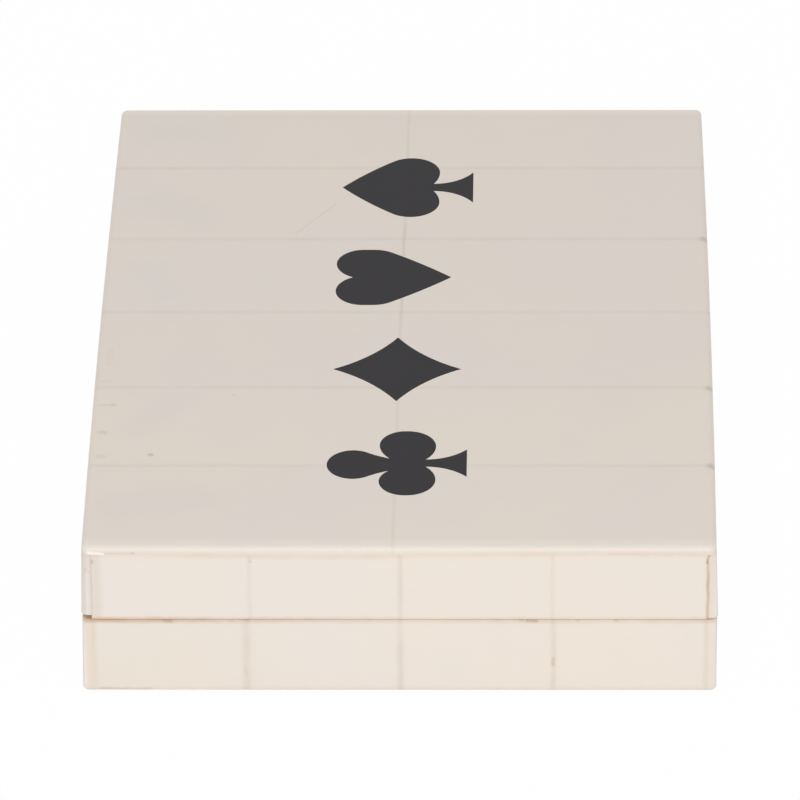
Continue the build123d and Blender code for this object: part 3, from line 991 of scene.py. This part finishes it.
def card_paper(name, ink, half_width, half_length):
    """Card of pale paper. Inside a plain margin, the ink leaves open a frame, a diamond lattice and dots.

    Lattice and dots follow the distance to the nearest line of two families, U + V and U - V. Only faces that
    look up are printed, because the cards lie face down.
    """
    finish = new_finish(name)
    u, v, _ = finish.split(finish.node("UVMap"))
    up = finish.split(finish.node("NewGeometry", outputs=("Normal",)))[2]
    inside = (half_width - abs(u)).least(half_length - abs(v))
    first, second = (u + v).to_nearest(lattice_pitch), (u - v).to_nearest(lattice_pitch)
    to_line = first.least(second)
    line = finish.fade(to_line, *line_limits)
    dot = finish.fade(to_line, *dot_limits)
    frame_line = finish.fade(abs(inside - back_margin - 2 * back_frame), *frame_limits)
    open_paper = line.most(dot).most(frame_line)
    printed = finish.fade(inside, back_margin, back_margin + print_edge) * (1 - open_paper) * (up > 0.5)
    edge = finish.mix(abs(up), paper_edge, paper)
    tone = finish.mix(printed, edge, ink)
    return finish.finish_with({"Base Color": tone}, paper_look)


decks = {"front_deck": colour(150, 38, 40), "rear_deck": colour(38, 58, 108)}
for node_name, ink in decks.items():
    low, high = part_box(node_name)
    points, outline = stack_of_cards(low, high)
    faces = plate_faces(card_count, len(outline))
    deck = new_piece(node_name + "_cards", points, faces, node_name)
    corner_uv = np.tile(outline, (card_count * 2, 1))
    loops = np.empty(len(deck.data.loops), dtype=np.int32)
    deck.data.loops.foreach_get("vertex_index", loops)
    deck.data.uv_layers.new(name="back").data.foreach_set("uv", corner_uv[loops].ravel())
    deck.data.materials.append(card_paper(node_name + "_paper", ink, *(outline.max(0).tolist())))
    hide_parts(node_name)
    print(deck.name, card_count, "cards,", len(deck.data.polygons), "faces")

# %% [markdown]
# ## Dice
#
# The dice are exact in CAD, hollow pips included, so they only need a finish. A pip is painted where the
# surface lies below its face: there the largest of |X|, |Y| and |Z| from the die's middle is less than half
# a side, while the other two are clear of the rounded edges. A Mapping node centres each die and undoes its
# turn.

# %% Dice
die_turns = (5, -8, 11, -4, 7)
die_edge = 2.0 * mm
pip_depth_shown = 0.03 * mm
die_ivory = colour(236, 228, 208)
die_ivory_deep = colour(228, 216, 192)
swirl_size = 9 * mm
swirl_share = 0.5
die_look = {"Roughness": 0.22, "Specular IOR Level": 0.5}
pip_black = colour(30, 28, 29)


def die_resin(name, middle, half, turn):
    """Ivory resin with black pips, for a die about this middle, turned by an angle about Z."""
    finish = new_finish(name)
    own = finish.node("Mapping", {"vector_type": "TEXTURE"},
                      {"Vector": finish.place(), "Location": middle, "Rotation": (0, 0, turn)})
    x, y, z = (abs(part) for part in finish.split(own))
    largest = x.most(y).most(z)
    smallest = x.least(y).least(z)
    between = x + y + z - largest - smallest
    pip = (largest < half - pip_depth_shown) * (between < half - die_edge)
    swirl = finish.noise(finish.place(), swirl_size, detail=3.0)
    ivory = finish.mix(swirl * swirl_share, die_ivory, die_ivory_deep)
    tone = finish.mix(pip, ivory, pip_black)
    return finish.finish_with({"Base Color": tone}, die_look)


for count, turn in enumerate(die_turns, start=1):
    low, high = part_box(f"die_{count}")
    die_half = (high.z - low.z) / 2
    paint([f"die_{count}"], die_resin(f"die_{count}_resin", (low + high) / 2, die_half, radians(turn)))

# %% [markdown]
# ## Plain colours on the screen
#
# The Standard view shows colours as they are written.

# %% Colour view
bpy.context.scene.view_settings.view_transform = "Standard"
